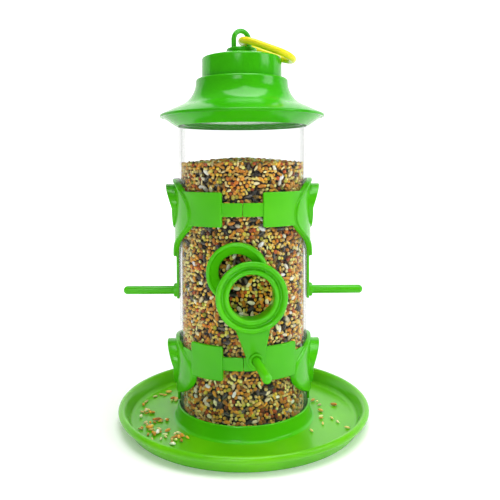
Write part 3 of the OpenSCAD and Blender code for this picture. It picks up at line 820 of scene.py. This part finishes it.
def staggered(width, height, pitch):
    """Points of a jittered, staggered grid over a rectangle."""
    rows = int(height / (pitch * 0.92))
    columns = int(width / pitch)
    u, v = np.meshgrid(np.arange(columns), np.arange(rows))
    u = (u + 0.5 * (v % 2)) * width / columns
    v = (v + 0.5) * height / rows
    spots = np.stack([u.ravel(), v.ravel()], axis=1)
    return spots + luck.normal(0, pitch * 0.16, spots.shape)


def kinds_for(count):
    names = list(SEED_KINDS)
    shares = np.array([SEED_KINDS[n][1] for n in names])
    return luck.choice(len(names), count, p=shares / shares.sum()), names


def thin_out(spots, kind_at, names):
    """Leaves out the small seeds that a big one covers."""
    keep = np.ones(len(spots), bool)
    lengths = np.array([SEED_KINDS[n][0][0] for n in names])[kind_at]
    widths = np.array([SEED_KINDS[n][0][1] for n in names])[kind_at]
    for i in np.argsort(-lengths):
        if lengths[i] < 4.5:
            break
        if keep[i]:
            reach = (lengths[i] + widths[i]) / 4 + 0.5
            near = np.hypot(*(spots - spots[i]).T) < reach
            near[i] = False
            keep &= ~near
    return keep


def port_axes():
    """Each opening's azimuth, height and sleeve radius."""
    found = [(side, z, PORT_R + 2) for side in (-90, 90) for z in (UPPER_PORT_Z, LOWER_PORT_Z)]
    for turn in (0, 180):
        found += [(FRONT_AZ + turn, FRONT_Z, FRONT_OPEN_R + 2), (RING_AZ + turn, RING_Z, RING_OPEN_R + 2)]
    return found


def wall_layer(label, radius, pitch, port_radius, shade=1.0):
    """A layer of seeds against the tube's wall; behind the ports' sleeves it steps inwards.
    Shade darkens its colour as painted shade.
    """
    around = 2 * np.pi * radius
    spots = staggered(around, SEED_SIDE_TOP - SOCKET_H + 4, pitch)
    kind_at, names = kinds_for(len(spots))
    keep = thin_out(spots, kind_at, names)
    spots, kind_at = spots[keep], kind_at[keep]
    angle, height = spots[:, 0] / radius, spots[:, 1] + SOCKET_H - 4
    reach = np.full(len(spots), float(radius))
    for azimuth, z, r in port_axes():
        side = np.sin(angle - math.radians(azimuth)) * radius
        ahead = np.cos(angle - math.radians(azimuth)) > 0
        reach[ahead & (np.hypot(side, height - z) < r + 1.6)] = port_radius
    outward = np.stack([np.sin(angle), -np.cos(angle), np.zeros(len(angle))], axis=1)
    axes = turned_axes(outward)
    for index, name in enumerate(names):
        chosen = kind_at == index
        half = np.array(SEED_KINDS[name][0]) / 2 * 1.1
        thickness = np.sqrt((np.einsum("ni,nij->nj", outward[chosen],
                                       axes[chosen]) * half) ** 2 @ np.ones(3))
        centre = outward[chosen] * (reach[chosen] - thickness)[:, None]
        centre[:, 2] = height[chosen]
        coat = SHELL_COAT if name == "sunflower" else GRAIN_COAT
        piece = seed_mesh(f"{name}_{label}", name, centre, axes[chosen], "tube", coat, shade)
        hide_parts("seed_fill")


def heap_layer():
    """Seeds over the heaped top of the filling."""
    spots = staggered(2 * SEED_R, 2 * SEED_R, 3.5) - SEED_R
    spots = spots[np.hypot(*spots.T) < SEED_R - 2.2]
    kind_at, names = kinds_for(len(spots))
    keep = thin_out(spots, kind_at, names)
    spots, kind_at = spots[keep], kind_at[keep]
    axes = turned_axes(np.tile([0.0, 0.0, 1.0], (len(spots), 1)), 0.3)
    height = SEED_TOP - 1.6 - 4.5 * (np.hypot(*spots.T) / SEED_R) ** 1.5 + luck.normal(0, 0.35, len(spots))
    for index, name in enumerate(names):
        chosen = kind_at == index
        centre = np.column_stack([spots[chosen], height[chosen]])
        coat = SHELL_COAT if name == "sunflower" else GRAIN_COAT
        seed_mesh(f"{name}_heap", name, centre, axes[chosen], "tube", coat)


def seed_core():
    """Body of the filling behind the layers of seeds that are seen, near-black with painted shade."""
    r, top = SEED_R - 5.6, SEED_TOP - 3.4
    core = lathe([(0, CONE_TOP + 1), (4, CONE_TOP + 1), (r, TUBE_FOOT + 5), (r, top - 4, 2.0),
                  (r * 0.6, top - 1.2),
                  (0, top)], 72)
    finished(core, "seed_filling_core", "tube", GAP_SHADE, ["seed_fill"])


def spilled_seed():
    """Seed that has dropped into the tray: a scattered handful on the left and a few grains on the
    right."""
    handfuls = ((-92, 20, 3, 3), (-78, 37, 4, 4), (-64, 27, 3, 4), (-84, -3, 4.5, 11), (-68, -16, 4, 7),
                (-82, -27, 5, 10), (-69, -46, 5, 13), (-52, -56, 5, 11), (-48, -46, 4, 5))
    singles = ((61, 22), (67, 20), (68, 13), (81, 13), (66, 0), (60, -10), (66, -15), (66, -26), (79, -23),
               (55, -39),
               (75, -15), (85, -34))
    spots = np.concatenate([luck.normal((x, y), spread, (count, 2)) for x, y, spread, count in handfuls]
                           + [np.array(singles, float)])
    away = np.hypot(*spots.T)
    spots *= (np.clip(away, SOCKET_FOOT_R + 5, TRAY_R - 16) / away)[:, None]
    kinds = luck.choice(["canary_seed", "wheat", "millet", "safflower"], len(spots),
                        p=[0.48, 0.27, 0.19, 0.06])
    for name in sorted(set(kinds)):
        chosen = kinds == name
        axes = turned_axes(np.tile([0.0, 0.0, 1.0], (int(chosen.sum()), 1)), 0.05)
        lift = TRAY_FLOOR + SEED_KINDS[name][0][2] * 0.55
        centre = np.column_stack([spots[chosen], np.full(int(chosen.sum()), lift)])
        seed_mesh(f"{name}_spilled", name, centre, axes, "base", GRAIN_COAT)


def filling():
    seed_core()
    wall_layer("at_wall", SEED_R, 3.1, SLEEVE_FROM - 0.3)
    # The layer behind is darkened to 0.4: painted shade deep among the seeds
    wall_layer("behind", SEED_R - 2.9, 4.3, SLEEVE_FROM - 2.6, 0.4)
    heap_layer()
    spilled_seed()


# ---------------------------------------------------------------- stage, light and camera


def stage():
    """Plain pale floor that curves up into the backdrop, its paper lit through where it is far from the
    lamps."""
    sweep = [(-2.5, 0.0)] + [(2.0 + 1.5 * math.sin(a), 1.5 - 1.5 * math.cos(a))
                             for a in [math.radians(9 * i) for i in range(11)]] + [(3.5, 4.0)]
    bm = bmesh.new()
    verts = [bm.verts.new((-15, y, z)) for y, z in sweep]
    edges = [bm.edges.new(pair) for pair in zip(verts, verts[1:])]
    made = bmesh.ops.extrude_edge_only(bm, edges=edges)
    moved = [v for v in made["geom"] if isinstance(v, bmesh.types.BMVert)]
    bmesh.ops.translate(bm, verts=moved, vec=(30, 0, 0))
    bmesh.ops.recalc_face_normals(bm, faces=bm.faces)
    mesh = bpy.data.meshes.new("floor")
    bm.to_mesh(mesh)
    bm.free()
    mesh.shade_smooth()
    material, tree = blank("studio_paper")
    place = add(tree, "TexCoord").outputs["Object"]
    away = add(tree, "VectorMath", {0: place}, operation="LENGTH")
    lit = add(tree, "MapRange", {"Value": away.outputs["Value"], "From Min": 0.3, "From Max": 1.6,
                                 "To Min": 0.12,
                                 "To Max": 0.85})
    paper = add(tree, "BsdfPrincipled", {"Base Color": linear("#fbfbfa"), "Roughness": 0.85,
                                         "Emission Color": linear("#ffffff"),
                                         "Emission Strength": lit.outputs[0]})
    add(tree, "OutputMaterial", {"Surface": paper.outputs[0]})
    mesh.materials.append(material)
    floor = bpy.data.objects.new("floor", mesh)
    bpy.context.scene.collection.objects.link(floor)


def lamp(name, place, aim, width, power, spread=180):
    """Soft square lamp at a place, aimed at a point, in metres and watts."""
    data = bpy.data.lights.new(name, "AREA")
    data.shape, data.size, data.energy, data.spread = "SQUARE", width, power, math.radians(spread)
    light = bpy.data.objects.new(name, data)
    light.location = place
    light.rotation_euler = (Vector(aim) - Vector(place)).to_track_quat("-Z", "Y").to_euler()
    bpy.context.scene.collection.objects.link(light)


def lights():
    world = bpy.data.worlds.new("studio")
    world.use_nodes = True
    world.node_tree.nodes["Background"].inputs["Color"].default_value = (1, 1, 1, 1)
    world.node_tree.nodes["Background"].inputs["Strength"].default_value = 0.14
    bpy.context.scene.world = world
    lamp("top_softbox", (0.15, -0.15, 1.5), (0, 0, 0.05), 1.1, 20)
    lamp("right_softbox", (1.2, -0.45, 0.75), (0, 0, 0.17), 0.6, 6)
    lamp("low_fill", (-0.25, -1.3, 0.5), (0, 0, -0.06), 0.5, 0.24, spread=28)


def camera():
    data = bpy.data.cameras.new("camera")
    data.sensor_width, data.lens = 36, 43.06
    data.shift_x, data.shift_y = 0.0151, -0.116
    data.clip_start, data.clip_end = 0.02, 20
    view = bpy.data.objects.new("camera", data)
    tilt = Matrix.Rotation(math.radians(90 - 2.567), 4, "X") @ Matrix.Rotation(math.radians(-0.353), 4, "Z")
    view.matrix_world = Matrix.Translation((0, -0.5171, 0.2197)) @ tilt
    bpy.context.scene.collection.objects.link(view)
    bpy.context.scene.camera = view


bpy.context.scene.view_settings.view_transform = "Standard"
camera()
stage()
lights()
tray()
socket()
seed_cone()
seed_tube()
collars_and_perches()
front_and_back_ports()
lid_underside()
roof()
cap()
hanger()
link()
washer()
filling()
